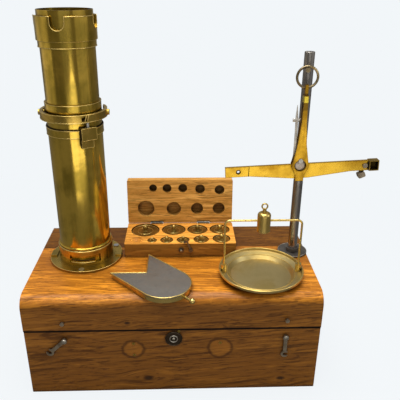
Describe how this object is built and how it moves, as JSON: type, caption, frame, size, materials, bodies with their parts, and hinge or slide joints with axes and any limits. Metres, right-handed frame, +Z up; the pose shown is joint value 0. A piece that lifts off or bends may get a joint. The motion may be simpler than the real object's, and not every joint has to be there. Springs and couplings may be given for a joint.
{
  "type": "grain tester",
  "caption": "Brass grain tester on its oak case: a measure with falling piston and filling tube, a hanging beam balance with pan, a strike-off knife and a hinged box of knobbed weights.",
  "frame": {"origin": "middle of the case's bottom face", "axes": "+X to the right seen from the front, +Y to the back where the lid is hinged, +Z up"},
  "size_m": [0.3787, 0.1788, 0.391],
  "materials": {
    "oak": "waxed golden oak with long dark grain",
    "dark_oak": "waxed brown oak",
    "pale_oak": "bare oak",
    "brass": "polished brass with brown age in its corners",
    "steel": "drawn steel, worn bright",
    "dark_steel": "blued steel gone dark"
  },
  "bodies": {
    "case": {"case_base": "oak", "case_floor": "pale_oak", "case_hinge_base_leaves": "brass", "case_hinge_pins": "steel", "hook_pivot_screws": "steel", "lock_escutcheon": "brass", "lock_body": "dark_steel", "front_nails": "brass", "wood_plug": "pale_oak"},
    "lid": {"case_lid": "oak", "lid_rear_board": "dark_oak", "case_hinge_lid_leaves": "brass", "hook_studs": "steel", "column_foot": "brass", "foot_screws": "steel", "balance_post": "steel", "post_foot": "dark_steel", "post_grub_screw": "dark_steel", "hanging_peg": "brass"},
    "left_hook": {"left_hook": "dark_steel"},
    "right_hook": {"right_hook": "dark_steel"},
    "lock_bolt": {"lock_bolt": "dark_steel"},
    "measure": {"measure_tube": "brass", "measure_collar": "brass", "knife_ring": "brass", "latch_block": "brass"},
    "latch_pin": {"latch_pin": "steel"},
    "filling_tube": {"filling_tube": "brass", "filling_socket_band": "brass", "mouth_collar": "brass"},
    "piston": {"falling_piston": "brass"},
    "weights_box": {"box_base": "dark_oak", "box_hinge_base_half": "dark_steel", "clasp_fittings": "dark_steel"},
    "weights_box_lid": {"box_lid": "dark_oak", "box_hinge_lid_half": "dark_steel"},
    "clasp": {"clasp_hook": "dark_steel"},
    "ring": {"suspension_ring": "brass"},
    "fork": {"beam_fork": "brass", "knife_pin": "steel"},
    "beam": {"beam": "brass", "beam_end_box": "dark_steel", "pointer": "steel"},
    "end_hook": {"end_hook": "dark_steel"},
    "pan": {"pan_dish": "brass", "bail_sockets": "brass", "pan_bail": "brass", "tare_weight": "brass"},
    "knife": {"knife_plate": "steel", "knife_rim": "brass", "knife_knob": "brass"},
    "weight_100g": {"weight_100g": "brass"},
    "weight_50g": {"weight_50g": "brass"},
    "weight_20g_left": {"weight_20g_left": "brass"},
    "weight_20g_right": {"weight_20g_right": "brass"},
    "weight_1g": {"weight_1g": "brass"},
    "weight_2g_left": {"weight_2g_left": "brass"},
    "weight_2g_right": {"weight_2g_right": "brass"},
    "weight_5g": {"weight_5g": "brass"},
    "weight_10g": {"weight_10g": "brass"}
  },
  "joints": [
    {"name": "lid_hinge", "type": "hinge", "parent": "case", "child": "lid", "pos_m": [0, 0.0832, 0.081], "axis": [-1, 0, 0], "range_deg": [0, 95]},
    {"name": "left_hook_turn", "type": "hinge", "parent": "case", "child": "left_hook", "pos_m": [-0.1145, -0.0813, 0.07], "axis": [0, 1, 0], "range_deg": [-47, 133]},
    {"name": "right_hook_turn", "type": "hinge", "parent": "case", "child": "right_hook", "pos_m": [0.119, -0.0813, 0.07], "axis": [0, 1, 0], "range_deg": [-180, 0]},
    {"name": "bolt_slide", "type": "slide", "parent": "case", "child": "lock_bolt", "axis": [0, 0, 1], "range_m": [0, 0.007]},
    {"name": "measure_turn", "type": "hinge", "parent": "lid", "child": "measure", "pos_m": [-0.1014, 0.0092, 0.134], "axis": [0, 0, 1], "range_deg": [0, 10]},
    {"name": "latch_slide", "type": "slide", "parent": "measure", "child": "latch_pin", "axis": [0, 0, 1], "range_m": [-0.004, 0]},
    {"name": "filling_lift", "type": "slide", "parent": "measure", "child": "filling_tube", "axis": [0, 0, 1], "range_m": [0, 0.03]},
    {"name": "piston_rise", "type": "slide", "parent": "measure", "child": "piston", "axis": [0, 0, 1], "range_m": [0, 0.115]},
    {"name": "box_lift", "type": "slide", "parent": "lid", "child": "weights_box", "axis": [0, 0, 1], "range_m": [0, 0.03]},
    {"name": "box_lid_turn", "type": "hinge", "parent": "weights_box", "child": "weights_box_lid", "pos_m": [0.0075, 0.0576, 0.138], "axis": [-1, 0, 0], "range_deg": [-95, 0]},
    {"name": "clasp_turn", "type": "hinge", "parent": "weights_box", "child": "clasp", "pos_m": [0.0195, 0.0013, 0.1302], "axis": [0, -1, 0], "range_deg": [-90, 35]},
    {"name": "ring_swing", "type": "hinge", "parent": "lid", "child": "ring", "pos_m": [0.137, 0, 0.3375], "axis": [0, 1, 0], "range_deg": [-8, 8]},
    {"name": "fork_swing", "type": "hinge", "parent": "ring", "child": "fork", "pos_m": [0.137, 0, 0.31775], "axis": [1, 0, 0], "range_deg": [-8, 2]},
    {"name": "beam_swing", "type": "hinge", "parent": "fork", "child": "beam", "pos_m": [0.137, 0, 0.2405], "axis": [0, 1, 0], "range_deg": [-3, 9]},
    {"name": "hook_swing", "type": "hinge", "parent": "beam", "child": "end_hook", "pos_m": [0.20782, 0, 0.2343], "axis": [0, 1, 0], "range_deg": [-12, 12]},
    {"name": "pan_lift", "type": "slide", "parent": "lid", "child": "pan", "axis": [0, 0, 1], "range_m": [0, 0.03]},
    {"name": "knife_lift", "type": "slide", "parent": "lid", "child": "knife", "axis": [0, 0, 1], "range_m": [0, 0.03]},
    {"name": "weight_100g_lift", "type": "slide", "parent": "weights_box", "child": "weight_100g", "axis": [0, 0, 1], "range_m": [0, 0.02]},
    {"name": "weight_50g_lift", "type": "slide", "parent": "weights_box", "child": "weight_50g", "axis": [0, 0, 1], "range_m": [0, 0.02]},
    {"name": "weight_20g_left_lift", "type": "slide", "parent": "weights_box", "child": "weight_20g_left", "axis": [0, 0, 1], "range_m": [0, 0.02]},
    {"name": "weight_20g_right_lift", "type": "slide", "parent": "weights_box", "child": "weight_20g_right", "axis": [0, 0, 1], "range_m": [0, 0.02]},
    {"name": "weight_1g_lift", "type": "slide", "parent": "weights_box", "child": "weight_1g", "axis": [0, 0, 1], "range_m": [0, 0.02]},
    {"name": "weight_2g_left_lift", "type": "slide", "parent": "weights_box", "child": "weight_2g_left", "axis": [0, 0, 1], "range_m": [0, 0.02]},
    {"name": "weight_2g_right_lift", "type": "slide", "parent": "weights_box", "child": "weight_2g_right", "axis": [0, 0, 1], "range_m": [0, 0.02]},
    {"name": "weight_5g_lift", "type": "slide", "parent": "weights_box", "child": "weight_5g", "axis": [0, 0, 1], "range_m": [0, 0.02]},
    {"name": "weight_10g_lift", "type": "slide", "parent": "weights_box", "child": "weight_10g", "axis": [0, 0, 1], "range_m": [0, 0.02]}
  ]
}
